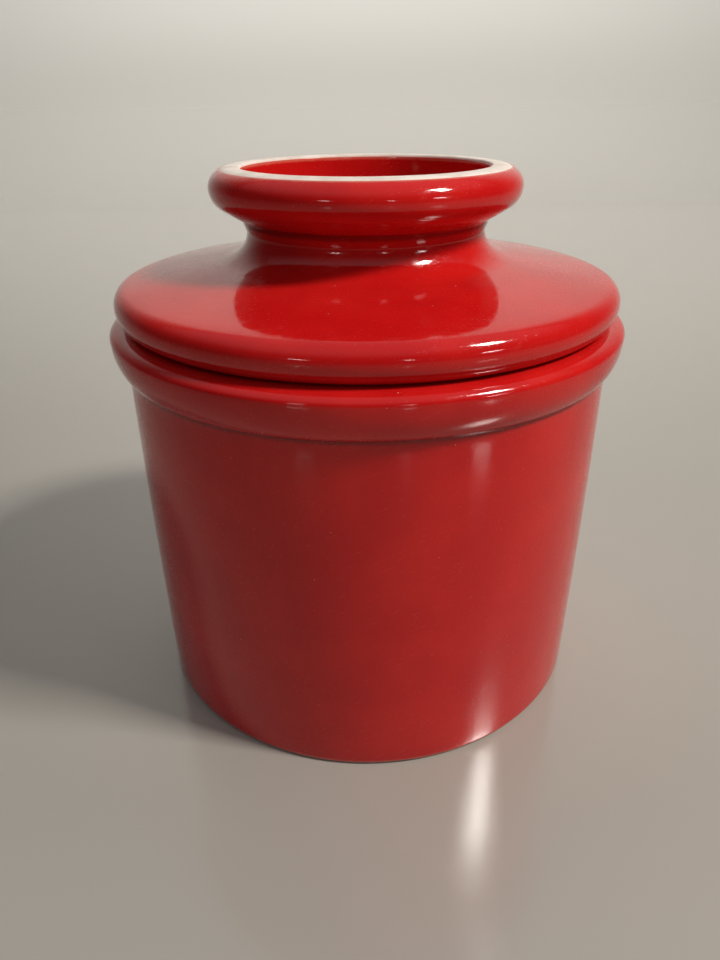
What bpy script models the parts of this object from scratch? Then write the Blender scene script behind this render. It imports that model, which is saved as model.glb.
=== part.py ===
"""Bell-type butter crock: an open stoneware pot and the bell lid that stands in it.

The lid is one fired piece. Its cover plate rests on the pot's rim, a hollow flared
foot stands on top of the plate, and a cup for the butter hangs below it, open
downwards. Turned over, the lid stands on its foot while the cup is filled.

Units are metres and +Z is up. The origin is on the pot's axis, at the table.
"""

import math

import bmesh
import bpy

MM = 0.001

SEGMENTS = 64  # sides of every turned surface
WELD = 0.00001  # merge distance for the seam and the poles of a turned surface

# Pot: outside
POT_HEIGHT = 79.7 * MM  # table to the top of the rim
RIM_RADIUS = 51.0 * MM  # widest point of the rolled rim
RIM_OVERHANG = 2.6 * MM  # how far the rim stands out past the body
RIM_DEPTH = 8.5 * MM  # top of the rim down to the crease under it
RIM_ROUND = 3.8 * MM  # width of the rim's outer round
RIM_CROWN = 1.9 * MM  # widest point up to the top of the rim
BODY_TAPER = 0.6 * MM  # how much narrower the body is at its base
BODY_BULGE = 0.25 * MM  # how far the side bows out at half height
FOOT_ROUND = 1.2 * MM
FOOT_WIDTH = 4.2 * MM  # flat, unglazed ring that the pot stands on
FOOT_RECESS = 1.5 * MM  # height of the hollow inside that ring

# Pot: inside
POT_WALL = 5.0 * MM
POT_FLOOR = 4.5 * MM  # thickness above the recess
POT_CORNER = 8.0 * MM  # fillet between the wall and the floor
MOUTH_ROUND = 1.5 * MM

# Fits between the two pieces
SEAT_GAP = 0.3 * MM  # plate to rim
STEP_CLEARANCE = 1.5 * MM  # locating step to the pot's wall, on radius
WATER_GAP = 8.7 * MM  # bell to the pot's wall, on radius, where the water stands
LIP_CLEARANCE = 22.0 * MM  # bell's lip to the pot's floor

# Lid: cover plate
PLATE_SETBACK = 1.65 * MM  # how far the plate's edge stays inside the rim
PLATE_EDGE = 6.6 * MM  # thickness at the rounded edge
PLATE_ROUND = 3.1 * MM  # width, and height above the widest point, of that edge
PLATE_RISE = 3.0 * MM  # climb from the edge to the foot of the neck
STEP_DEPTH = 1.6 * MM
STEP_ROUND = 1.0 * MM

# Lid: hollow foot, which is also the knob
NECK_RADIUS = 23.1 * MM
NECK_FLARE = 7.5 * MM  # width of the sweep from the neck to the plate
NECK_SWEEP = 5.7 * MM  # height of that sweep
NECK_COLLAR = 1.8 * MM  # height from the sweep to the crease under the knob
NECK_CREASE = 0.6 * MM  # how far the crease stands out past the neck
NECK_WALL = 4.5 * MM
KNOB_RADIUS = 29.7 * MM
KNOB_DEPTH = 6.0 * MM  # crease up to the knob's widest point
KNOB_UNDERCUT = 2.9 * MM  # height of the straight slope above the crease
KNOB_LOWER_ROUND = 3.7 * MM  # width of the round below the widest point
KNOB_CROWN = 3.5 * MM  # widest point up to the ring
RING_INNER = 24.1 * MM  # flat, unglazed ring on top
RING_WIDTH = 1.5 * MM
RING_ROUND = 0.6 * MM
HOLLOW_CORNER = 4.0 * MM

# Lid: butter bell
DECK = 5.0 * MM  # thickness between the foot's hollow and the bell
CEILING_RISE = 4.3 * MM  # bell's ceiling above the plate's underside
BELL_WALL = 4.2 * MM
BELL_FLARE = 1.4 * MM  # how much wider the bell is at its lip
BELL_ROOT = 3.0 * MM  # fillet between the bell and the step
BELL_CORNER = 6.0 * MM  # fillet between the bell's wall and its ceiling

# Levels and radii that follow from the sizes above
BODY_TOP_RADIUS = RIM_RADIUS - RIM_OVERHANG
BASE_RADIUS = BODY_TOP_RADIUS - BODY_TAPER
CREASE_Z = POT_HEIGHT - RIM_DEPTH
FLOOR_Z = FOOT_RECESS + POT_FLOOR
MOUTH_RADIUS = BODY_TOP_RADIUS - POT_WALL

UNDERSIDE_Z = POT_HEIGHT + SEAT_GAP
PLATE_RADIUS = RIM_RADIUS - PLATE_SETBACK
PLATE_TOP_Z = UNDERSIDE_Z + PLATE_EDGE
STEP_RADIUS = MOUTH_RADIUS - STEP_CLEARANCE
STEP_Z = UNDERSIDE_Z - STEP_DEPTH
NECK_FOOT_Z = PLATE_TOP_Z + PLATE_RISE
NECK_TOP_Z = NECK_FOOT_Z + NECK_SWEEP
KNOB_CREASE_Z = NECK_TOP_Z + NECK_COLLAR
KNOB_Z = KNOB_CREASE_Z + KNOB_DEPTH
RING_Z = KNOB_Z + KNOB_CROWN
PLATE_RUN = PLATE_RADIUS - PLATE_ROUND - NECK_RADIUS - NECK_FLARE
PLATE_SLOPE = math.atan2(PLATE_RISE, PLATE_RUN)
CEILING_Z = UNDERSIDE_Z + CEILING_RISE
HOLLOW_Z = CEILING_Z + DECK
HOLLOW_RADIUS = NECK_RADIUS - NECK_WALL
BELL_RADIUS = MOUTH_RADIUS - WATER_GAP
LIP_Z = FLOOR_Z + LIP_CLEARANCE


def arc(centre, radii, start, end, steps):
    """Points of an ellipse from one angle to another, in degrees; 0 is outwards and 90 is up."""
    points = []
    for i in range(steps + 1):
        angle = math.radians(start + (end - start) * i / steps)
        points.append(
            (centre[0] + radii[0] * math.cos(angle), centre[1] + radii[1] * math.sin(angle))
        )
    return points


def pot_outline():
    """Half section of the pot, from the middle of its underside, round the outside, to its floor."""
    flat_outer = BASE_RADIUS - FOOT_ROUND
    flat_inner = flat_outer - FOOT_WIDTH
    points = [(0, FOOT_RECESS), (flat_inner - FOOT_RECESS, FOOT_RECESS), (flat_inner, 0)]
    points += arc((flat_outer, FOOT_ROUND), (FOOT_ROUND, FOOT_ROUND), -90, 0, 3)
    side_steps = 5
    for i in range(1, side_steps + 1):
        t = i / side_steps
        bulge = 4 * BODY_BULGE * t * (1 - t)
        points.append(
            (BASE_RADIUS + BODY_TAPER * t + bulge, FOOT_ROUND + (CREASE_Z - FOOT_ROUND) * t)
        )
    roll_centre = (RIM_RADIUS - RIM_ROUND, POT_HEIGHT - RIM_CROWN)
    crease_cos = (BODY_TOP_RADIUS - roll_centre[0]) / RIM_ROUND
    crease_angle = math.degrees(math.acos(crease_cos))
    lower_height = (roll_centre[1] - CREASE_Z) / math.sin(math.radians(crease_angle))
    points += arc(roll_centre, (RIM_ROUND, lower_height), -crease_angle, 0, 5)[1:]
    points += arc(roll_centre, (RIM_ROUND, RIM_CROWN), 0, 90, 5)[1:]
    mouth_centre = (MOUTH_RADIUS + MOUTH_ROUND, POT_HEIGHT - MOUTH_ROUND)
    points += arc(mouth_centre, (MOUTH_ROUND, MOUTH_ROUND), 90, 180, 3)
    corner_centre = (BASE_RADIUS - POT_WALL - POT_CORNER, FLOOR_Z + POT_CORNER)
    points += arc(corner_centre, (POT_CORNER, POT_CORNER), 0, -90, 5)
    points.append((0, FLOOR_Z))
    return points


def foot_outline():
    """The lid's upper half section: from the middle of the hollow to the neck's sweep."""
    hollow_centre = (HOLLOW_RADIUS - HOLLOW_CORNER, HOLLOW_Z + HOLLOW_CORNER)
    points = [(0, HOLLOW_Z)]
    points += arc(hollow_centre, (HOLLOW_CORNER, HOLLOW_CORNER), -90, 0, 4)
    inner_top_z = RING_Z - RING_ROUND
    inner_top_radius = RING_INNER - RING_ROUND
    flare_steps = 5
    for i in range(flare_steps + 1):
        t = i / flare_steps
        ease = t * t * (3 - 2 * t)
        radius = HOLLOW_RADIUS + (inner_top_radius - HOLLOW_RADIUS) * ease
        points.append((radius, NECK_TOP_Z + (inner_top_z - NECK_TOP_Z) * t))
    points += arc((RING_INNER, inner_top_z), (RING_ROUND, RING_ROUND), 180, 90, 2)[1:]
    ring_outer = RING_INNER + RING_WIDTH
    points += arc((ring_outer, KNOB_Z), (KNOB_RADIUS - ring_outer, KNOB_CROWN), 90, 0, 6)
    lower_height = KNOB_DEPTH - KNOB_UNDERCUT
    lower_angle = 52
    lower_radii = (KNOB_LOWER_ROUND, lower_height / math.sin(math.radians(lower_angle)))
    lower_centre = (KNOB_RADIUS - KNOB_LOWER_ROUND, KNOB_Z)
    points += arc(lower_centre, lower_radii, 0, -lower_angle, 3)[1:]
    points.append((NECK_RADIUS + NECK_CREASE, KNOB_CREASE_Z))
    sweep_end = math.degrees(math.atan2(NECK_SWEEP, NECK_FLARE * math.tan(PLATE_SLOPE)))
    sweep_centre = (NECK_RADIUS + NECK_FLARE, NECK_TOP_Z)
    points += arc(sweep_centre, (NECK_FLARE, NECK_SWEEP), 180, 180 + sweep_end, 6)
    return points


def plate_outline():
    """The plate's rounded edge, its underside and the locating step."""
    lower_height = PLATE_EDGE - PLATE_ROUND
    edge_centre = (PLATE_RADIUS - PLATE_ROUND, UNDERSIDE_Z + lower_height)
    edge_start = 90 - math.degrees(PLATE_SLOPE)
    points = arc(edge_centre, (PLATE_ROUND, PLATE_ROUND), edge_start, 0, 5)
    points += arc(edge_centre, (PLATE_ROUND, lower_height), 0, -90, 4)[1:]
    points.append((STEP_RADIUS, UNDERSIDE_Z))
    step_centre = (STEP_RADIUS - STEP_ROUND, STEP_Z + STEP_ROUND)
    points += arc(step_centre, (STEP_ROUND, STEP_ROUND), 0, -90, 2)
    return points


def bell_outline():
    """The bell, down its outside, round its lip and up to its ceiling."""
    root_z = STEP_Z - BELL_ROOT
    points = arc((BELL_RADIUS + BELL_ROOT, root_z), (BELL_ROOT, BELL_ROOT), 90, 180, 4)
    lip_radius = BELL_WALL / 2
    lip_centre = (BELL_RADIUS + BELL_FLARE - lip_radius, LIP_Z + lip_radius)
    flare_steps = 4
    outside = []
    for i in range(1, flare_steps):
        t = i / flare_steps
        outside.append((BELL_RADIUS + BELL_FLARE * t * t, root_z + (lip_centre[1] - root_z) * t))
    points += outside
    points += arc(lip_centre, (lip_radius, lip_radius), 0, -180, 6)
    for radius, z in reversed(outside):
        points.append((radius - BELL_WALL, z))
    corner_centre = (BELL_RADIUS - BELL_WALL - BELL_CORNER, CEILING_Z - BELL_CORNER)
    points += arc(corner_centre, (BELL_CORNER, BELL_CORNER), 0, 90, 4)
    points.append((0, CEILING_Z))
    return points


def lid_outline():
    """Half section of the lid, from the foot's hollow, round the outside, to the bell's ceiling."""
    return foot_outline() + plate_outline() + bell_outline()


def turned_mesh(name, outline):
    """A closed mesh made by spinning a half section round the Z axis."""
    bm = bmesh.new()
    profile = [bm.verts.new((radius, 0, z)) for radius, z in outline]
    edges = [bm.edges.new(pair) for pair in zip(profile, profile[1:])]
    bmesh.ops.spin(
        bm,
        geom=profile + edges,
        cent=(0, 0, 0),
        axis=(0, 0, 1),
        angle=math.tau,
        steps=SEGMENTS,
    )
    bmesh.ops.remove_doubles(bm, verts=bm.verts, dist=WELD)
    bmesh.ops.dissolve_degenerate(bm, edges=bm.edges, dist=WELD)
    bmesh.ops.recalc_face_normals(bm, faces=bm.faces)
    mesh = bpy.data.meshes.new(name)
    bm.to_mesh(mesh)
    bm.free()
    mesh.shade_smooth()
    mesh.set_sharp_from_angle(angle=math.radians(35))
    return mesh


def glaze(name, colour, roughness):
    """Fired glaze: a coloured dielectric with no metal in it."""
    material = bpy.data.materials.new(name)
    material.use_nodes = True
    shader = material.node_tree.nodes["Principled BSDF"]
    shader.inputs["Base Color"].default_value = (*colour, 1)
    shader.inputs["Roughness"].default_value = roughness
    shader.inputs["Metallic"].default_value = 0
    return material


def add_object(name, mesh, material, parent=None):
    """Links one named object to the scene."""
    mesh.materials.append(material)
    obj = bpy.data.objects.new(name, mesh)
    bpy.context.scene.collection.objects.link(obj)
    obj.parent = parent
    return obj


def clear_scene():
    """Removes whatever the open file holds."""
    for obj in list(bpy.data.objects):
        bpy.data.objects.remove(obj)


def build():
    """Makes the pot, and the lid on the axis that it lifts along."""
    clear_scene()
    pot_glaze = glaze("red_glaze_pot", (0.50, 0.018, 0.022), 0.12)
    lid_glaze = glaze("red_glaze_lid", (0.50, 0.018, 0.022), 0.12)
    add_object("crock", turned_mesh("crock", pot_outline()), pot_glaze)
    lift_axis = bpy.data.objects.new("lid_lift_axis", None)
    bpy.context.scene.collection.objects.link(lift_axis)
    add_object("bell_lid", turned_mesh("bell_lid", lid_outline()), lid_glaze, lift_axis)


build()
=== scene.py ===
import math

import bpy
from mathutils import Matrix, Vector


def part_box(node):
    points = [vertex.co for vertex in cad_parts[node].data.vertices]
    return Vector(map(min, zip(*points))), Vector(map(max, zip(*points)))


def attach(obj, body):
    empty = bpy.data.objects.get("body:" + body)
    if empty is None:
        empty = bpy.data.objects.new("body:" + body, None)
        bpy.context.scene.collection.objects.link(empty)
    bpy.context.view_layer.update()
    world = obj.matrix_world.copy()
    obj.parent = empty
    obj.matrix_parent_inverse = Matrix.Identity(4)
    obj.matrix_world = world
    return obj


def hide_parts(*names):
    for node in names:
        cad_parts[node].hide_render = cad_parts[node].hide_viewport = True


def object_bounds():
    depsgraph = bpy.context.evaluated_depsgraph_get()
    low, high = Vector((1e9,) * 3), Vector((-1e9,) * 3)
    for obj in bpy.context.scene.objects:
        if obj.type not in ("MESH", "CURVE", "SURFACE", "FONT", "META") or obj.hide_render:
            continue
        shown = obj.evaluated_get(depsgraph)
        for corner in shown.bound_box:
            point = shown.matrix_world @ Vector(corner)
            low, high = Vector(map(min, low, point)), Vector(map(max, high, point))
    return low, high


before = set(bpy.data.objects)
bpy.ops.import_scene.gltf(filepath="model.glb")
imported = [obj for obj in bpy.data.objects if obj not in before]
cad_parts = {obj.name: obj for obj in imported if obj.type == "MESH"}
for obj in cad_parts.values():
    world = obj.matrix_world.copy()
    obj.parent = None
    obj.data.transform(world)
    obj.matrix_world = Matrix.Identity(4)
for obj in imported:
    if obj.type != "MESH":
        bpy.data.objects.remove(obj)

cadLow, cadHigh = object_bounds()  # the CAD model's box, before anything is added
potLow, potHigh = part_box("crock")
lidLow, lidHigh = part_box("bell_lid")
mm = 0.001
metresToMm = 1000.0


# shapes on the wheel: outlines are lists of (radius, height) in mm
turning = {
    "segments": 256,  # sides of a turned piece
    "step": 0.55,  # length of one facet along a round, in mm
    "longStep": 2.2,  # the same along a straight wall
    "fewest": 3,  # facets on the smallest round
    "weld": 0.00001,  # metres, closes the seam and the poles
    "sharp": 50,  # degrees, edges above this stay crisp
}


def curve(centre, radii, start, end, step=None):  # part of an ellipse; 0 is outwards, 90 is up
    spacing = step or turning["step"]
    count = max(turning["fewest"], round(math.radians(abs(end - start)) * max(radii) / spacing))
    points = []
    for i in range(count + 1):
        angle = math.radians(start + (end - start) * i / count)
        points.append((centre[0] + radii[0] * math.cos(angle), centre[1] + radii[1] * math.sin(angle)))
    return points


def straight(start, end, bow=0.0):  # the points between two ends, which are left out
    length = math.hypot(end[0] - start[0], end[1] - start[1])
    count = max(2, round(length / turning["longStep"]))
    points = []
    for i in range(1, count):
        t = i / count
        swell = 4 * bow * t * (1 - t)
        points.append((start[0] + (end[0] - start[0]) * t + swell, start[1] + (end[1] - start[1]) * t))
    return points


def ease(t):
    return t * t * (3 - 2 * t)


def turnOnWheel(name, outline):  # the outline is extruded point by point, then spun round Z
    bpy.ops.object.select_all(action="DESELECT")
    start = outline[0]
    bpy.ops.mesh.primitive_plane_add(size=mm, location=(start[0] * mm, 0, start[1] * mm))
    piece = bpy.context.object
    piece.name = name
    piece.data.name = name
    bpy.ops.object.transform_apply(location=True, rotation=True, scale=True)
    bpy.ops.object.mode_set(mode="EDIT")
    bpy.ops.mesh.select_all(action="SELECT")
    bpy.ops.mesh.merge(type="CENTER")
    for here, there in zip(outline, outline[1:]):
        move = ((there[0] - here[0]) * mm, 0, (there[1] - here[1]) * mm)
        bpy.ops.mesh.extrude_vertices_move(TRANSFORM_OT_translate={"value": move})
    bpy.ops.mesh.select_all(action="SELECT")
    bpy.ops.mesh.spin(steps=turning["segments"], angle=math.tau, center=(0, 0, 0), axis=(0, 0, 1))
    bpy.ops.mesh.select_all(action="SELECT")
    bpy.ops.mesh.remove_doubles(threshold=turning["weld"])
    bpy.ops.mesh.select_all(action="SELECT")
    bpy.ops.mesh.normals_make_consistent(inside=False)
    bpy.ops.object.mode_set(mode="OBJECT")
    return piece


def pickPoints(piece, name, wanted):  # a vertex group of the points that wanted() weighs above 0
    group = piece.vertex_groups.new(name=name)
    for vertex in piece.data.vertices:
        radius = math.hypot(vertex.co.x, vertex.co.y) / mm
        weight = wanted(radius, vertex.co.z / mm)
        if weight > 0:
            group.add([vertex.index], weight, "REPLACE")
    return group.name


def waver(piece, amount, size, direction="NORMAL", group=""):  # uneven as fired ware is, both in mm
    texture = bpy.data.textures.new(piece.name + "_waver", "CLOUDS")
    texture.noise_scale = size * mm
    texture.noise_depth = 1
    modifier = piece.modifiers.new("waver", "DISPLACE")
    modifier.texture = texture
    modifier.texture_coords = "LOCAL"
    modifier.direction = direction
    modifier.strength = amount * mm
    modifier.mid_level = 0.5
    modifier.vertex_group = group
    bpy.context.view_layer.objects.active = piece
    bpy.ops.object.modifier_apply(modifier=modifier.name)
    bpy.data.textures.remove(texture)


def smoothShade(piece):
    bpy.ops.object.select_all(action="DESELECT")
    piece.select_set(True)
    bpy.context.view_layer.objects.active = piece
    bpy.ops.object.shade_smooth_by_angle(angle=math.radians(turning["sharp"]))


# the pot: slip-cast stoneware, glazed inside and out, wiped bare where it stands
pot = {
    "rimRadius": potHigh.x / mm,
    "height": potHigh.z / mm,
    "rimOverhang": 2.6,  # rim's widest point past the body
    "rimDepth": 8.5,  # top of the rim to the crease under it
    "rimRound": 3.8,  # width of the outer round
    "rimCrown": 1.9,  # widest point up to the top
    "creaseFillet": 0.35,  # glaze that has run into the crease
    "taper": 0.6,  # narrower at the base
    "bow": 0.25,  # side swells out at half height
    "wall": 5.0,
    "floor": 4.5,
    "corner": 8.0,
    "mouthRound": 1.5,
    "footRound": 1.2,
    "footWidth": 4.2,
    "recess": 1.5,  # hollow inside the foot ring
    "wipeLine": 0.30,  # height of the glaze's lower edge
    "wipeDepth": 0.6,  # how far the glazed body stays behind the bare clay
    "wipeLip": 0.09,  # radius of the glaze's rolled lower edge
    "innerWipe": 0.9,  # bare band inside the foot ring
    "clayRound": 0.75,  # inner round of the foot
    "clayBack": 0.12,  # the clay lies this far inside the glaze's surface
    "uneven": 0.05,
    "unevenSize": 24.0,
    "wipeUneven": 0.22,
    "wipeUnevenSize": 3.5,
}
pot["bodyTop"] = pot["rimRadius"] - pot["rimOverhang"]
pot["base"] = pot["bodyTop"] - pot["taper"]
pot["creaseHeight"] = pot["height"] - pot["rimDepth"]
pot["mouth"] = pot["bodyTop"] - pot["wall"]
pot["floorHeight"] = pot["recess"] + pot["floor"]
pot["flatOuter"] = pot["base"] - pot["footRound"]
pot["flatInner"] = pot["flatOuter"] - pot["footWidth"]


def potOutline():
    behind = pot["wipeDepth"] + 0.1  # height of the body over the bare clay
    innerLine = pot["flatInner"] - pot["innerWipe"]
    innerRound = (0.5, 0.25)  # how the glaze ends inside the foot ring
    innerEdge = (innerLine - 0.6, pot["recess"])
    outline = [(0, pot["recess"])]
    outline += straight((0, pot["recess"]), innerEdge)
    outline += curve((innerEdge[0], innerEdge[1] - innerRound[1]), innerRound, 90, 0, 0.2)
    outline += [(innerLine + 0.25, pot["recess"] - 0.4), (pot["flatInner"], behind)]
    outline.append((pot["flatOuter"] - 0.2, behind))
    lip = pot["wipeLip"]
    lipRadius = pot["flatOuter"] + footReach(pot["wipeLine"] + 0.12)
    outline.append((lipRadius - 2.4 * lip, pot["wipeLine"] + 0.3))
    outline += curve((lipRadius - lip, pot["wipeLine"] + lip), (lip, lip), 200, 350, 0.08)
    startAngle = math.degrees(math.asin((pot["wipeLine"] + 0.2 - pot["footRound"]) / pot["footRound"]))
    centre = (pot["flatOuter"], pot["footRound"])
    outline += curve(centre, (pot["footRound"], pot["footRound"]), startAngle, 0, 0.3)
    fillet = pot["creaseFillet"]
    bodyEnd = (pot["bodyTop"], pot["creaseHeight"] - fillet)
    outline += straight((pot["base"], pot["footRound"]), bodyEnd, pot["bow"])
    rollCentre = (pot["rimRadius"] - pot["rimRound"], pot["height"] - pot["rimCrown"])
    meetAngle = math.acos((pot["bodyTop"] + fillet - rollCentre[0]) / pot["rimRound"])
    lowerHeight = (rollCentre[1] - pot["creaseHeight"]) / math.sin(meetAngle)
    outline += curve((bodyEnd[0] + fillet, bodyEnd[1]), (fillet, fillet), 180, 115, 0.12)
    meetDegrees = math.degrees(meetAngle)
    outline += curve(rollCentre, (pot["rimRound"], lowerHeight), -meetDegrees, 0)
    outline += curve(rollCentre, (pot["rimRound"], pot["rimCrown"]), 0, 90)[1:]
    mouthCentre = (pot["mouth"] + pot["mouthRound"], pot["height"] - pot["mouthRound"])
    outline += straight(outline[-1], (mouthCentre[0], pot["height"]))
    outline += curve(mouthCentre, (pot["mouthRound"], pot["mouthRound"]), 90, 180, 0.35)
    cornerCentre = (pot["base"] - pot["wall"] - pot["corner"], pot["floorHeight"] + pot["corner"])
    wallEnd = (cornerCentre[0] + pot["corner"], cornerCentre[1])
    outline += straight(outline[-1], wallEnd)
    outline += curve(cornerCentre, (pot["corner"], pot["corner"]), 0, -90, 0.9)
    outline += straight(outline[-1], (0, pot["floorHeight"]))
    outline.append((0, pot["floorHeight"]))
    return outline


def footReach(height):  # how far the foot's outer round stands past its flat, at a height
    return math.sqrt(pot["footRound"] ** 2 - (pot["footRound"] - height) ** 2)


def footClayOutline():  # a closed ring; its outer and inner edges are buried in the glazed body
    top = pot["wipeDepth"] + 1.1
    inner = pot["clayRound"]
    centre = (pot["flatOuter"], pot["footRound"])
    radius = pot["footRound"]
    edgeAngle = -math.degrees(math.asin((radius - pot["wipeLine"] - 0.06) / radius))
    outline = [(pot["flatInner"], top), (pot["flatInner"] - inner, top)]
    outline += curve((pot["flatInner"], inner), (inner, inner), 180, 270, 0.25)
    outline += straight(outline[-1], (pot["flatOuter"], 0))
    outline += curve(centre, (radius - pot["clayBack"], radius), -90, edgeAngle, 0.2)
    outline += [(pot["flatOuter"] + 0.3, top - 0.5), (pot["flatOuter"], top), (pot["flatInner"], top)]
    return outline


def makePot():
    body = turnOnWheel("crock_glazed", potOutline())
    line = pot["wipeLine"]
    isLip = lambda r, z: 1.0 if z < line + 0.25 and r > pot["flatOuter"] + 0.3 else 0.0
    lip = pickPoints(body, "glazeEdge", isLip)
    waver(body, pot["wipeUneven"], pot["wipeUnevenSize"], "Z", lip)
    free = pickPoints(body, "free", lambda r, z: min(1.0, max(0.0, (z - 2) / 4)))
    waver(body, pot["uneven"], pot["unevenSize"], "NORMAL", free)
    smoothShade(body)
    clay = turnOnWheel("crock_bare_foot", footClayOutline())
    smoothShade(clay)
    print("pot turned:", len(body.data.polygons), "faces")
    return body, clay


# the lid: cover plate, hollow foot on top and butter bell below, fired as one
lid = {
    "plateRadius": lidHigh.x / mm,
    "top": lidHigh.z / mm,
    "lip": lidLow.z / mm,  # lowest point of the bell
    "seatGap": 0.08,  # the plate sits on the rim, with a hair of air under it
    "plateEdge": 6.82,  # thickness where the plate's top meets its edge round
    "plateRound": 3.1,
    "plateRise": 3.0,  # edge round up to the foot of the neck
    "stepClearance": 1.5,  # locating step to the pot's mouth
    "stepDepth": 1.38,
    "stepRound": 1.0,
    "neckRadius": 23.1,
    "neckFlare": 7.5,  # the neck sweeps out this far into the plate
    "neckSweep": 5.7,  # over this height
    "neckCollar": 1.8,
    "neckCrease": 0.6,
    "creaseFillet": 0.9,
    "neckWall": 4.5,
    "knobRadius": 29.7,
    "knobDepth": 6.0,
    "knobUndercut": 2.9,
    "knobTurn": 52,  # degrees of the knob's lower round before its underside runs straight
    "knobLowerRound": 3.7,
    "knobCrown": 3.5,
    "ringInner": 24.1,
    "ringWidth": 1.5,
    "ringRound": 0.6,
    "hollowCorner": 4.0,
    "spreadEnd": 0.62,  # share of the hollow's upper part that widens
    "deck": 5.0,  # clay between the two hollows
    "ceilingRise": 4.52,
    "waterGap": 8.7,  # bell to the pot's wall
    "bellWall": 4.2,
    "bellFlare": 1.4,
    "bellRoot": 3.0,
    "bellCorner": 6.0,
    "glazeLine": 27.45,  # radius where the glaze stops on the knob
    "innerLine": 0.55,  # how far below the ring the inner glaze stops
    "bandDepth": 0.6,  # how far the glazed body stays under the bare clay
    "outerLip": 0.10,  # radius of the glaze's edge on the knob
    "innerLip": 0.08,  # and inside the hollow
    "clayBack": 0.06,  # the clay lies this far inside the inner glaze
    "wallSteps": 16,  # points down the hollow's upper part
    "bellSteps": 22,  # points down the bell
    "uneven": 0.05,
    "unevenSize": 22.0,
    "lineUneven": 0.50,
    "lineUnevenSize": 1.8,
}
lid["underside"] = pot["height"] + lid["seatGap"]
lid["plateTop"] = lid["underside"] + lid["plateEdge"]
lid["neckFoot"] = lid["plateTop"] + lid["plateRise"]
lid["neckTop"] = lid["neckFoot"] + lid["neckSweep"]
lid["crease"] = lid["neckTop"] + lid["neckCollar"]
lid["knobHeight"] = lid["top"] - lid["knobCrown"]
lid["ringOuter"] = lid["ringInner"] + lid["ringWidth"]
lid["hollow"] = lid["neckRadius"] - lid["neckWall"]
lid["ceiling"] = lid["underside"] + lid["ceilingRise"]
lid["hollowFloor"] = lid["ceiling"] + lid["deck"]
lid["step"] = lid["underside"] - lid["stepDepth"]
lid["stepRadius"] = pot["mouth"] - lid["stepClearance"]
lid["bell"] = pot["mouth"] - lid["waterGap"]
lid["plateRun"] = lid["plateRadius"] - lid["plateRound"] - lid["neckRadius"] - lid["neckFlare"]
lid["slope"] = math.atan2(lid["plateRise"], lid["plateRun"])


def crownAngle(radius):  # where the knob's crown has that radius, in degrees
    return math.degrees(math.acos((radius - lid["ringOuter"]) / (lid["knobRadius"] - lid["ringOuter"])))


def crownHeight(radius):
    return lid["knobHeight"] + lid["knobCrown"] * math.sin(math.radians(crownAngle(radius)))


def hollowOutline():  # the bowl inside the foot, from its middle to the inner glaze line
    corner = lid["hollowCorner"]
    centre = (lid["hollow"] - corner, lid["hollowFloor"] + corner)
    outline = [(0, lid["hollowFloor"])]
    outline += straight((0, lid["hollowFloor"]), (centre[0], lid["hollowFloor"]))
    outline += curve(centre, (corner, corner), -90, 0)
    wallTop = (lid["ringInner"] - lid["ringRound"], lid["top"] - lid["innerLine"])
    for i in range(lid["wallSteps"] + 1):
        t = i / lid["wallSteps"]
        spread = ease(min(1.0, t / lid["spreadEnd"]))  # widens low down, then stands upright
        radius = lid["hollow"] + (wallTop[0] - lid["hollow"]) * spread
        outline.append((radius, lid["neckTop"] + (wallTop[1] - lid["neckTop"]) * t))
    lip = lid["innerLip"]
    outline += curve((wallTop[0] + lip, wallTop[1]), (lip, lip), 150, 0, 0.07)
    return outline


def bandOutline():  # the glazed body dips here, and the bare clay ring lies in the dip
    low = lid["top"] - lid["innerLine"] - lid["bandDepth"]
    inner = lid["ringInner"] - lid["ringRound"] + 0.25
    outer = lid["glazeLine"] - 0.22
    return [(inner, low), (lid["ringInner"] + 0.8, low), (lid["ringOuter"] + 0.4, low), (outer, low)]


def knobOutline():  # from the outer glaze line, round the knob, down the neck to the plate
    crown = (lid["knobRadius"] - lid["ringOuter"], lid["knobCrown"])
    centre = (lid["ringOuter"], lid["knobHeight"])
    lineHeight = crownHeight(lid["glazeLine"])
    lip = lid["outerLip"]
    outline = curve((lid["glazeLine"], lineHeight - 0.5 * lip), (lip, lip), 185, 75, 0.08)
    outline += curve(centre, crown, crownAngle(lid["glazeLine"] + 0.22), 0, 0.4)
    lowerHeight = (lid["knobDepth"] - lid["knobUndercut"]) / math.sin(math.radians(lid["knobTurn"]))
    lowerCentre = (lid["knobRadius"] - lid["knobLowerRound"], lid["knobHeight"])
    outline += curve(lowerCentre, (lid["knobLowerRound"], lowerHeight), 0, -lid["knobTurn"], 0.4)[1:]
    fillet = lid["creaseFillet"]
    creaseEdge = (lid["neckRadius"] + lid["neckCrease"] + fillet, lid["crease"] + 0.55 * fillet)
    outline += straight(outline[-1], creaseEdge)
    outline += curve((creaseEdge[0], creaseEdge[1] - fillet), (fillet, fillet), 110, 175, 0.15)
    sweepEnd = math.degrees(math.atan2(lid["neckSweep"], lid["neckFlare"] * math.tan(lid["slope"])))
    sweepCentre = (lid["neckRadius"] + lid["neckFlare"], lid["neckTop"])
    outline += curve(sweepCentre, (lid["neckFlare"], lid["neckSweep"]), 180, 180 + sweepEnd)
    return outline


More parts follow.
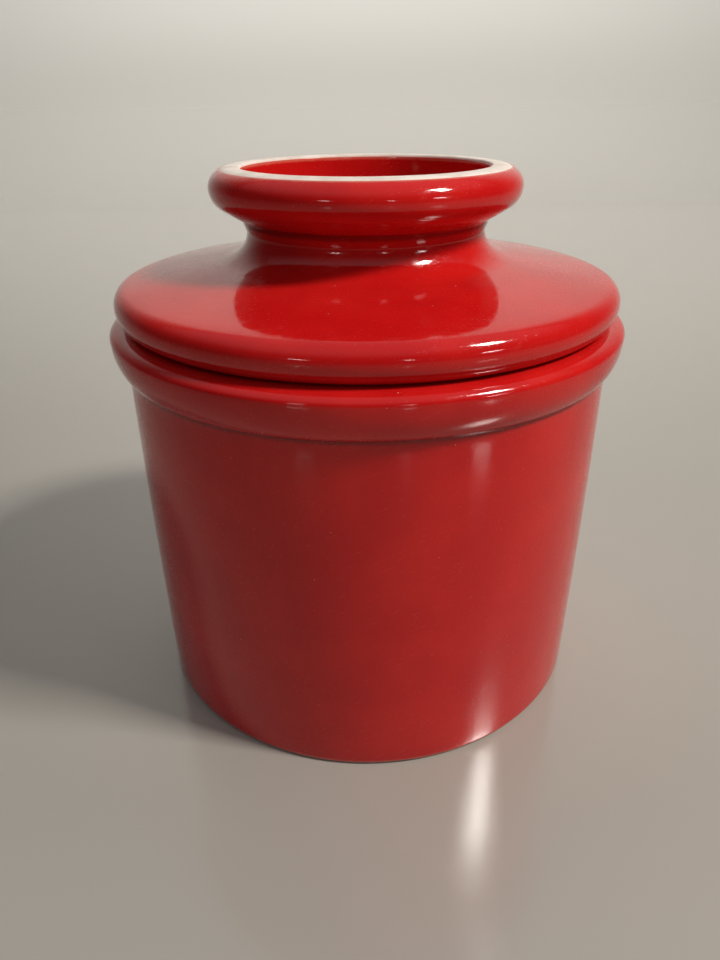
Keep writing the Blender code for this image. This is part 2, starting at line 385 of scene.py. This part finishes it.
def plateOutline():  # across the plate, round its edge and under it to the locating step
    lowerHeight = lid["plateEdge"] - lid["plateRound"]
    edge = (lid["plateRadius"] - lid["plateRound"], lid["underside"] + lowerHeight)
    startAngle = 90 - math.degrees(lid["slope"])
    rounded = curve(edge, (lid["plateRound"], lid["plateRound"]), startAngle, 0)
    rounded += curve(edge, (lid["plateRound"], lowerHeight), 0, -90)[1:]
    outline = straight(knobOutline()[-1], rounded[0])
    outline += rounded
    outline += [(lid["stepRadius"] + 0.3, lid["underside"]), (lid["stepRadius"], lid["underside"] - 0.3)]
    stepRound = lid["stepRound"]
    stepCentre = (lid["stepRadius"] - stepRound, lid["step"] + stepRound)
    outline += curve(stepCentre, (stepRound, stepRound), 0, -90, 0.3)
    return outline


def bellOutline():  # down the bell's outside, round its lip and up to its ceiling
    root = lid["bellRoot"]
    rootHeight = lid["step"] - root
    stepEnd = (lid["stepRadius"] - lid["stepRound"], lid["step"])
    outline = straight(stepEnd, (lid["bell"] + root, lid["step"]))
    outline += curve((lid["bell"] + root, rootHeight), (root, root), 90, 180)
    lip = lid["bellWall"] / 2
    lipCentre = (lid["bell"] + lid["bellFlare"] - lip, lid["lip"] + lip)
    outside = []
    for i in range(1, lid["bellSteps"]):
        t = i / lid["bellSteps"]
        outside.append((lid["bell"] + lid["bellFlare"] * t * t, rootHeight + (lipCentre[1] - rootHeight) * t))
    outline += outside
    outline += curve(lipCentre, (lip, lip), 0, -180, 0.4)
    outline += [(radius - lid["bellWall"], height) for radius, height in reversed(outside)]
    corner = lid["bellCorner"]
    cornerCentre = (lid["bell"] - lid["bellWall"] - corner, lid["ceiling"] - corner)
    outline += curve(cornerCentre, (corner, corner), 0, 90, 0.9)
    outline += straight(outline[-1], (0, lid["ceiling"]))
    outline.append((0, lid["ceiling"]))
    return outline


def ringClayOutline():  # a closed ring; its two edges are buried under the glaze
    low = lid["top"] - lid["innerLine"] - lid["bandDepth"] - 0.6
    innerEdge = lid["ringInner"] - lid["ringRound"] + lid["clayBack"]
    innerTop = lid["top"] - lid["innerLine"]
    centre = (lid["ringOuter"], lid["knobHeight"])
    line = lid["glazeLine"]
    outline = [(lid["ringInner"], low), (innerEdge, low), (innerEdge, innerTop)]
    innerRound = (lid["ringRound"] - lid["clayBack"], lid["innerLine"])
    outline += curve((lid["ringInner"], innerTop), innerRound, 180, 90, 0.12)[1:]
    outline += straight(outline[-1], (lid["ringOuter"], lid["top"]))
    crown = (lid["knobRadius"] - lid["ringOuter"], lid["knobCrown"])
    outline += curve(centre, crown, 90, crownAngle(line - 0.3), 0.25)
    for out, under in ((0.0, 0.06), (0.15, 0.14), (0.32, 0.4)):  # dives under the glaze
        outline.append((line + out, crownHeight(line + out) - under))
    outline += [(lid["ringOuter"], low), (lid["ringInner"], low)]
    return outline


def makeLid():
    outline = hollowOutline() + bandOutline() + knobOutline() + plateOutline() + bellOutline()
    body = turnOnWheel("lid_glazed", outline)
    line = lid["glazeLine"]
    high = lid["top"] - 1.6
    spread = 0.45  # mm either side of the glaze line that wavers with it
    isLip = lambda r, z: max(0.0, 1 - abs(r - line) / spread) if z > high and r > line - 0.5 else 0.0
    lip = pickPoints(body, "glazeEdge", isLip)
    waver(body, lid["lineUneven"], lid["lineUnevenSize"], "X", lip)
    waver(body, lid["lineUneven"], lid["lineUnevenSize"] * 1.4, "Y", lip)  # out of step with the first
    free = pickPoints(body, "free", lambda r, z: min(1.0, max(0.0, (lid["top"] - 1.5 - z) / 3)))
    waver(body, lid["uneven"], lid["unevenSize"], "NORMAL", free)
    smoothShade(body)
    clay = turnOnWheel("lid_bare_ring", ringClayOutline())
    smoothShade(clay)
    print("lid turned:", len(body.data.polygons), "faces")
    return body, clay


# finishes
def linear(hexColour):  # sRGB hex to linear, with alpha
    channels = [int(hexColour[i:i + 2], 16) / 255 for i in (1, 3, 5)]
    return [c / 12.92 if c <= 0.04045 else ((c + 0.055) / 1.055) ** 2.4 for c in channels] + [1.0]


def addNode(tree, kind, settings=None, values=None, links=None):  # one node with its settings and links
    node = tree.nodes.new(kind)
    for name, value in (settings or {}).items():
        setattr(node, name, value)
    for socket, value in (values or {}).items():
        node.inputs[socket].default_value = value
    for socket, source in (links or {}).items():
        tree.links.new(source, node.inputs[socket])
    return node


def newFinish(name):  # a material with its shader, and its surface coordinates in mm
    material = bpy.data.materials.new(name)
    material.use_nodes = True
    tree = material.node_tree
    tree.nodes.clear()
    place = addNode(tree, "ShaderNodeTexCoord")
    scale = {"operation": "SCALE"}
    inMm = addNode(
        tree, "ShaderNodeVectorMath", scale, {"Scale": metresToMm}, {"Vector": place.outputs["Object"]}
    )
    shader = addNode(tree, "ShaderNodeBsdfPrincipled")
    addNode(tree, "ShaderNodeOutputMaterial", links={"Surface": shader.outputs["BSDF"]})
    return material, tree, inMm.outputs["Vector"], shader


smooth = {"interpolation_type": "SMOOTHSTEP"}
mixColours = {"data_type": "RGBA"}
mixFactor, mixFirst, mixSecond, mixResult = 0, 6, 7, 2  # a colour mix's sockets by place
multiplyAdd = {"operation": "MULTIPLY_ADD"}

glaze = {
    "colour": linear("#BC1213"),
    "lightPatch": linear("#C81B18"),  # where the coat is a little thinner
    "thinEdge": linear("#D0604F"),  # the glaze draws back from an edge and the clay shows through
    "pooledAndShaded": linear("#86100F"),  # glaze lies thicker in a crease, and the crease's shade is painted in: darker there
    "dust": linear("#D98F84"),
    "patchSize": 16.0,  # mm, soft clouding of the coat
    "patchFade": (0.35, 0.7),  # span of the noise over which the patch comes in
    "thinAtFoot": 1.2,  # mm, how far the thin edge reaches up from the foot
    "thinOnKnob": 0.5,
    "thinInHollow": 0.7,
    # how far the darker crease colour reaches, in mm: pooled glaze and painted crease shade
    "poolAndShadeReach": 1.1,
    "roughness": 0.075,
    "smearRoughness": 0.11,  # added on wiped streaks
    "scratchRoughness": 0.26,
    "dustRoughness": 0.4,
    "ior": 1.46,
    "peelSize": 2.4,  # mm between the swells of the glaze's surface
    "peelHeight": 0.006,
    "smearWidth": 1.8,
    "smearLength": 34.0,
    "smearTurn": -42,  # degrees from level
    "smearFade": (0.5, 0.72),
    "smearHeight": 0.003,
    "scratchWidth": 0.25,  # finer in life, drawn as coarse as it needs to show
    "scratchLength": 9.0,
    "scratchTurn": -25,
    "scratchFade": (0.62, 0.70),
    "scratchDepth": 0.002,
    "speckSize": 0.26,
    "speckSpacing": 4.2,
    "speckHeight": 0.02,
    "edgeWander": 0.5,  # mm, how unevenly the thin edges run
    "edgeWanderSize": 1.7,
}


def streaks(tree, inMm, width, length, turn, shift):  # noise drawn out along a slanting line
    mapping = addNode(
        tree, "ShaderNodeMapping", {"vector_type": "TEXTURE"},
        {"Location": shift, "Rotation": (0, math.radians(turn), 0), "Scale": (length, width, width)},
        {"Vector": inMm},
    )
    noise = addNode(
        tree, "ShaderNodeTexNoise", values={"Scale": 1.0, "Detail": 2.0},
        links={"Vector": mapping.outputs["Vector"]},
    )
    return noise.outputs["Fac"]


def dots(tree, inMm, size, spacing):  # 1 on small round dots scattered over the surface
    cells = addNode(tree, "ShaderNodeTexVoronoi", values={"Scale": 1 / spacing}, links={"Vector": inMm})
    edge = size / 2 / spacing
    mask = addNode(
        tree, "ShaderNodeMapRange", smooth,
        {"From Min": edge / 2, "From Max": edge, "To Min": 1, "To Max": 0},
        {"Value": cells.outputs["Distance"]},
    )
    return mask.outputs["Result"]


def paintCircle(tree, profile, circle, paint, colour):  # circle is its radius, height and reach in mm
    radius, height, reach = circle
    away = addNode(
        tree, "ShaderNodeVectorMath", {"operation": "DISTANCE"}, {1: (radius, height, 0)}, {0: profile}
    )
    full = 0.2 * reach  # solid colour as far as this, then it fades
    mask = addNode(
        tree, "ShaderNodeMapRange", smooth,
        {"From Min": full, "From Max": reach, "To Min": 1, "To Max": 0},
        {"Value": away.outputs["Value"]},
    )
    painted = addNode(
        tree, "ShaderNodeMix", mixColours, {mixSecond: paint},
        {mixFactor: mask.outputs["Result"], mixFirst: colour},
    )
    return painted.outputs[mixResult]


def makeGlaze(name, thinCircles, poolAndShadeCircles):
    # gloss glaze over stoneware, dipped and fired: glass-smooth and wet looking, thin at its edges, darker in
    # its creases from pooled glaze and painted crease shade
    material, tree, inMm, shader = newFinish(name)
    flat = addNode(tree, "ShaderNodeVectorMath", {"operation": "MULTIPLY"}, {1: (1, 1, 0)}, {0: inMm})
    radius = addNode(tree, "ShaderNodeVectorMath", {"operation": "LENGTH"}, links={0: flat.outputs["Vector"]})
    height = addNode(tree, "ShaderNodeSeparateXYZ", links={"Vector": inMm})
    ragged = addNode(
        tree, "ShaderNodeTexNoise", values={"Scale": 1 / glaze["edgeWanderSize"]}, links={"Vector": inMm}
    )
    wander = addNode(
        tree, "ShaderNodeMath", multiplyAdd, {1: glaze["edgeWander"]},
        {0: ragged.outputs["Fac"], 2: height.outputs["Z"]},
    )
    level = addNode(
        tree, "ShaderNodeMath", {"operation": "SUBTRACT"},
        {1: glaze["edgeWander"] / 2}, {0: wander.outputs["Value"]},
    )
    profile = addNode(
        tree, "ShaderNodeCombineXYZ", values={"Z": 0.0},
        links={"X": radius.outputs["Value"], "Y": level.outputs["Value"]},
    ).outputs["Vector"]

    clouds = addNode(
        tree, "ShaderNodeTexNoise", values={"Scale": 1 / glaze["patchSize"], "Detail": 4.0},
        links={"Vector": inMm},
    )
    start, end = glaze["patchFade"]
    cloud = addNode(
        tree, "ShaderNodeMapRange", smooth, {"From Min": start, "From Max": end},
        {"Value": clouds.outputs["Fac"]},
    )
    colour = addNode(
        tree, "ShaderNodeMix", mixColours, {mixFirst: glaze["colour"], mixSecond: glaze["lightPatch"]},
        {mixFactor: cloud.outputs["Result"]},
    ).outputs[mixResult]
    # darker round each crease circle: glaze pooled thicker, together with painted crease shade
    for circle in poolAndShadeCircles:
        colour = paintCircle(tree, profile, circle, glaze["pooledAndShaded"], colour)
    for circle in thinCircles:
        colour = paintCircle(tree, profile, circle, glaze["thinEdge"], colour)
    speck = dots(tree, inMm, glaze["speckSize"], glaze["speckSpacing"])
    dusted = addNode(
        tree, "ShaderNodeMix", mixColours, {mixSecond: glaze["dust"]}, {mixFactor: speck, mixFirst: colour}
    )
    tree.links.new(dusted.outputs[mixResult], shader.inputs["Base Color"])

    smearNoise = streaks(tree, inMm, glaze["smearWidth"], glaze["smearLength"], glaze["smearTurn"], (3, 0, 0))
    start, end = glaze["smearFade"]
    smear = addNode(
        tree, "ShaderNodeMapRange", smooth, {"From Min": start, "From Max": end}, {"Value": smearNoise}
    ).outputs["Result"]
    scratchNoise = streaks(
        tree, inMm, glaze["scratchWidth"], glaze["scratchLength"], glaze["scratchTurn"], (0, 7, 2)
    )
    start, end = glaze["scratchFade"]
    scratch = addNode(
        tree, "ShaderNodeMapRange", smooth, {"From Min": start, "From Max": end}, {"Value": scratchNoise}
    ).outputs["Result"]
    rough = addNode(
        tree, "ShaderNodeMath", multiplyAdd, {1: glaze["smearRoughness"], 2: glaze["roughness"]}, {0: smear}
    ).outputs["Value"]
    for mask, added in ((scratch, glaze["scratchRoughness"]), (speck, glaze["dustRoughness"])):
        more = addNode(tree, "ShaderNodeMath", multiplyAdd, {1: added}, {0: mask, 2: rough})
        rough = more.outputs["Value"]
    tree.links.new(rough, shader.inputs["Roughness"])

    peel = addNode(
        tree, "ShaderNodeTexNoise", values={"Scale": 1 / glaze["peelSize"], "Detail": 1.0},
        links={"Vector": inMm},
    )
    relief = addNode(
        tree, "ShaderNodeMath", {"operation": "MULTIPLY"}, {1: glaze["peelHeight"]}, {0: peel.outputs["Fac"]}
    ).outputs["Value"]
    for mask, rise in (
        (smear, glaze["smearHeight"]),
        (scratch, -glaze["scratchDepth"]),
        (speck, glaze["speckHeight"]),
    ):
        more = addNode(tree, "ShaderNodeMath", multiplyAdd, {1: rise}, {0: mask, 2: relief})
        relief = more.outputs["Value"]
    bump = addNode(
        tree, "ShaderNodeBump", values={"Strength": 1.0, "Distance": mm}, links={"Height": relief}
    )
    tree.links.new(bump.outputs["Normal"], shader.inputs["Normal"])
    shader.inputs["IOR"].default_value = glaze["ior"]
    return material


clay = {
    "colour": linear("#E8DED5"),
    "shade": linear("#D8CBBF"),
    "handling": linear("#B9AB9D"),  # grey from being set down and picked up
    "patchSize": 5.0,  # mm
    "patchFade": (0.38, 0.68),
    "roughness": 0.86,
    "ior": 1.5,
    "grain": 0.35,  # mm between grains of sand
    "grainHeight": 0.012,
    "pitSpacing": 1.9,
    "pitSize": 0.22,
    "pitDepth": 0.03,
    "pitShade": 0.6,
    "markWidth": 0.5,
    "markLength": 3.0,
    "markTurn": 12,  # degrees
    "markFade": (0.60, 0.85),
    "markShade": 0.55,
}


def makeClay(name):
    # stoneware wiped free of glaze before firing: dry, chalky and very finely sandy, marked by handling
    material, tree, inMm, shader = newFinish(name)
    patches = addNode(
        tree, "ShaderNodeTexNoise", values={"Scale": 1 / clay["patchSize"], "Detail": 3.0},
        links={"Vector": inMm},
    )
    start, end = clay["patchFade"]
    patch = addNode(
        tree, "ShaderNodeMapRange", smooth, {"From Min": start, "From Max": end},
        {"Value": patches.outputs["Fac"]},
    )
    markNoise = streaks(tree, inMm, clay["markWidth"], clay["markLength"], clay["markTurn"], (1, 2, 3))
    start, end = clay["markFade"]
    mark = addNode(
        tree, "ShaderNodeMapRange", smooth, {"From Min": start, "From Max": end, "To Max": clay["markShade"]},
        {"Value": markNoise},
    )
    pit = dots(tree, inMm, clay["pitSize"], clay["pitSpacing"])
    pitShade = addNode(tree, "ShaderNodeMath", {"operation": "MULTIPLY"}, {1: clay["pitShade"]}, {0: pit})
    colour = addNode(
        tree, "ShaderNodeMix", mixColours, {mixFirst: clay["colour"], mixSecond: clay["shade"]},
        {mixFactor: patch.outputs["Result"]},
    ).outputs[mixResult]
    for mask in (mark.outputs["Result"], pitShade.outputs["Value"]):
        colour = addNode(
            tree, "ShaderNodeMix", mixColours, {mixSecond: clay["handling"]},
            {mixFactor: mask, mixFirst: colour},
        ).outputs[mixResult]
    tree.links.new(colour, shader.inputs["Base Color"])
    grain = addNode(
        tree, "ShaderNodeTexNoise", values={"Scale": 1 / clay["grain"], "Detail": 2.0}, links={"Vector": inMm}
    )
    sand = addNode(
        tree, "ShaderNodeMath", {"operation": "MULTIPLY"}, {1: clay["grainHeight"]}, {0: grain.outputs["Fac"]}
    )
    relief = addNode(
        tree, "ShaderNodeMath", multiplyAdd, {1: -clay["pitDepth"]}, {0: pit, 2: sand.outputs["Value"]}
    )
    bump = addNode(
        tree, "ShaderNodeBump", values={"Strength": 1.0, "Distance": mm},
        links={"Height": relief.outputs["Value"]},
    )
    tree.links.new(bump.outputs["Normal"], shader.inputs["Normal"])
    shader.inputs["Roughness"].default_value = clay["roughness"]
    shader.inputs["IOR"].default_value = clay["ior"]
    return material


# the two parts, each a glazed body with its bare clay ring
potBody, potFoot = makePot()
lidBody, lidRing = makeLid()

footLine = (pot["flatOuter"] + footReach(pot["wipeLine"]), pot["wipeLine"], glaze["thinAtFoot"])
# painted crease shade, together with pooled glaze, in the crease under the rim
rimCrease = (pot["bodyTop"] + 0.3, pot["creaseHeight"], glaze["poolAndShadeReach"])
potGlaze = makeGlaze("gloss_glaze_on_crock", [footLine], [rimCrease])
knobLine = (lid["glazeLine"], crownHeight(lid["glazeLine"]), glaze["thinOnKnob"])
ringLine = (lid["ringInner"] - lid["ringRound"], lid["top"] - lid["innerLine"], glaze["thinInHollow"])
# painted crease shade, together with pooled glaze, where the knob's underside meets the neck
knobCrease = (lid["neckRadius"] + lid["neckCrease"], lid["crease"], glaze["poolAndShadeReach"])
lidGlaze = makeGlaze("gloss_glaze_on_lid", [knobLine, ringLine], [knobCrease])
bareClay = makeClay("bare_stoneware")

for piece, finish, body, slot in (
    (potBody, potGlaze, "crock", "crock_glaze"),
    (potFoot, bareClay, "crock", "bare_stoneware"),
    (lidBody, lidGlaze, "lid", "lid_glaze"),
    (lidRing, bareClay, "lid", "bare_stoneware"),
):
    piece.data.materials.clear()
    piece.data.materials.append(finish)
    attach(piece, body)
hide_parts("crock")
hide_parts("bell_lid")
print("crock and lid finished")


# a plain studio
studio = {
    "width": 6.0,  # metres
    "front": -3.2,
    "back": 0.75,
    "sweep": 0.5,  # radius of the curve from floor to wall
    "sweepSteps": 24,
    "wall": 1.4,
    "paint": "#A39F97",
    "paintRoughness": 0.16,  # a wiped-down board, glossy where things stand on it
    "wallRoughness": 0.6,
    "wallHeight": 300.0,  # mm, where the wall is fully matt
    "paintIor": 1.8,
    "air": "#F4F6FA",
    "lowAir": 0.035,  # light from the sides of the room
    "ceiling": 0.45,  # light from overhead
    "airFade": (0.35, 0.9),  # height in the sky over which one turns into the other
    "aimHeight": 0.6,  # share of the object's height that the lamps point at
}

# name, degrees round from the front (right is +), degrees up, metres away, size, watts, colour
lamps = (
    ("key", 68, 48, 0.9, (0.14, 0.14), 7.4, "#FFF8F0"),
    ("leftLamp", -28, 12, 0.9, (0.11, 0.03), 0.18, "#FFFDF8"),
    ("middleLamp", 17, 12, 0.9, (0.06, 0.03), 0.12, "#FFFDF8"),
    ("rightLamp", 52, 14, 0.9, (0.12, 0.05), 0.5, "#FFFDF8"),
)
wallLamp = {  # hangs behind the object and is turned to the back wall
    "place": (0, 0.3, 1.1),
    "aim": (0, 1.25, 0.9),
    "size": (1.6, 0.3),
    "watts": 29.0,
    "colour": "#FFFFFF",
}


def makeFloor():  # board painted with satin enamel and wiped down: an even, slightly mirroring ground
    bpy.ops.object.select_all(action="DESELECT")
    depth = studio["back"] - studio["front"]
    bpy.ops.mesh.primitive_plane_add(size=1, location=(0, studio["front"] + depth / 2, 0))
    floor = bpy.context.object
    floor.name = "floor"
    floor.scale = (studio["width"], depth, 1)
    bpy.ops.object.transform_apply(location=True, rotation=True, scale=True)
    bpy.ops.object.mode_set(mode="EDIT")
    bpy.ops.mesh.select_all(action="DESELECT")
    bpy.ops.object.mode_set(mode="OBJECT")
    for vertex in floor.data.vertices:
        vertex.select = vertex.co.y > studio["back"] - 0.01
    for edge in floor.data.edges:
        edge.select = all(floor.data.vertices[i].select for i in edge.vertices)
    bpy.ops.object.mode_set(mode="EDIT")
    bpy.ops.mesh.select_mode(type="EDGE")
    sweep = studio["sweep"]
    for i in range(studio["sweepSteps"]):
        a = math.radians(90 * i / studio["sweepSteps"])
        b = math.radians(90 * (i + 1) / studio["sweepSteps"])
        move = (0, sweep * (math.sin(b) - math.sin(a)), sweep * (math.cos(a) - math.cos(b)))
        bpy.ops.mesh.extrude_edges_move(TRANSFORM_OT_translate={"value": move})
    bpy.ops.mesh.extrude_edges_move(TRANSFORM_OT_translate={"value": (0, 0, studio["wall"])})
    bpy.ops.mesh.select_all(action="SELECT")
    bpy.ops.mesh.normals_make_consistent(inside=False)
    bpy.ops.object.mode_set(mode="OBJECT")
    smoothShade(floor)
    material, tree, inMm, shader = newFinish("painted_board")
    shader.inputs["Base Color"].default_value = linear(studio["paint"])
    height = addNode(tree, "ShaderNodeSeparateXYZ", links={"Vector": inMm})
    low, high = studio["paintRoughness"], studio["wallRoughness"]
    rough = addNode(
        tree, "ShaderNodeMapRange", smooth,
        {"From Max": studio["wallHeight"], "To Min": low, "To Max": high},
        {"Value": height.outputs["Z"]},
    )
    tree.links.new(rough.outputs["Result"], shader.inputs["Roughness"])
    shader.inputs["IOR"].default_value = studio["paintIor"]
    floor.data.materials.append(material)


def makeLamp(name, place, aim, size, watts, colour):
    data = bpy.data.lights.new(name, "AREA")
    data.shape = "RECTANGLE"
    data.size = size[0]
    data.size_y = size[1]
    data.energy = watts
    data.color = linear(colour)[:3]
    lamp = bpy.data.objects.new(name, data)
    lamp.location = place
    lamp.rotation_euler = (Vector(place) - Vector(aim)).to_track_quat("Z", "Y").to_euler()
    bpy.context.collection.objects.link(lamp)


makeFloor()
middle = Vector((0, 0, cadHigh.z * studio["aimHeight"]))
for name, around, up, away, size, watts, colour in lamps:
    turn = math.radians(around)
    rise = math.radians(up)
    direction = Vector((math.sin(turn) * math.cos(rise), -math.cos(turn) * math.cos(rise), math.sin(rise)))
    makeLamp(name, middle + direction * away, middle, size, watts, colour)
makeLamp("wallLamp", **wallLamp)
world = bpy.data.worlds.new("studio")
world.use_nodes = True
background = world.node_tree.nodes["Background"]
background.inputs["Color"].default_value = linear(studio["air"])
direction = addNode(world.node_tree, "ShaderNodeTexCoord")
upward = addNode(world.node_tree, "ShaderNodeSeparateXYZ", links={"Vector": direction.outputs["Generated"]})
start, end = studio["airFade"]
glow = addNode(
    world.node_tree, "ShaderNodeMapRange", smooth,
    {"From Min": start, "From Max": end, "To Min": studio["lowAir"], "To Max": studio["ceiling"]},
    {"Value": upward.outputs["Z"]},
)
world.node_tree.links.new(glow.outputs["Result"], background.inputs["Strength"])
bpy.context.scene.world = world
bpy.context.scene.view_settings.view_transform = "Standard"

viewpoint = {
    "place": (-0.0006, -0.1502, 0.1185),  # metres
    "down": 27.9,  # degrees
    "turn": 0.4,
    "lean": -0.63,
    "lens": 27.46,
}
cameraData = bpy.data.cameras.new("camera")
cameraData.lens = viewpoint["lens"]
cameraData.clip_start = 0.01
camera = bpy.data.objects.new("camera", cameraData)
turned = Matrix.Rotation(math.radians(viewpoint["turn"]), 4, "Z")
tipped = Matrix.Rotation(math.radians(90 - viewpoint["down"]), 4, "X")
leaned = Matrix.Rotation(math.radians(viewpoint["lean"]), 4, "Z")
camera.location = viewpoint["place"]
camera.rotation_euler = (turned @ tipped @ leaned).to_euler()
bpy.context.collection.objects.link(camera)
bpy.context.scene.camera = camera
print("studio lit")
